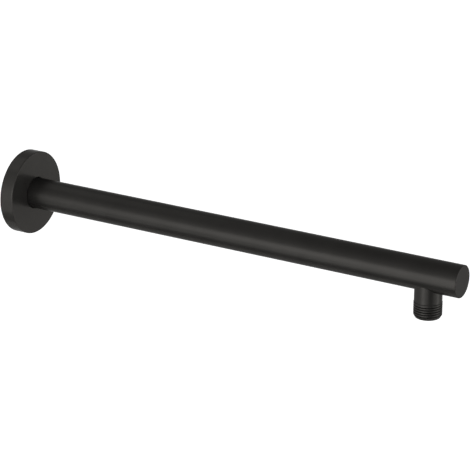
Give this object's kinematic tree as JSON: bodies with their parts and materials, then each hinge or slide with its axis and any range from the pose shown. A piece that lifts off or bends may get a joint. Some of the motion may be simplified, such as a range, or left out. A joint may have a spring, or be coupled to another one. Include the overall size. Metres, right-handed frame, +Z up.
{
  "type": "shower arm",
  "caption": "Straight round wall shower arm with a closed flat end, a threaded outlet pointing down near the end, and a thick round cover flange at the wall.",
  "frame": {"origin": "on the arm's axis in the wall plane, where the inlet thread meets its shoulder", "axes": "+X along the arm away from the wall, +Z up, the outlet points to -Z"},
  "size_m": [0.388, 0.065, 0.065],
  "materials": {
    "black_finish": "satin black coat over brass",
    "seal_rubber": "matt black nitrile rubber"
  },
  "bodies": {
    "arm": {"arm_tube": "black_finish", "end_plug": "black_finish", "outlet_nipple": "black_finish", "inlet_connector": "black_finish"},
    "seal_ring": {"flange_o_ring": "seal_rubber"},
    "flange": {"wall_flange": "black_finish"}
  },
  "joints": [
    {"name": "flange_slide", "type": "slide", "parent": "arm", "child": "seal_ring", "axis": [1, 0, 0], "range_m": [0, 0.328]},
    {"name": "flange_turn", "type": "hinge", "parent": "seal_ring", "child": "flange", "pos_m": [0.0065, 0, 0], "axis": [1, 0, 0], "continuous": true}
  ]
}
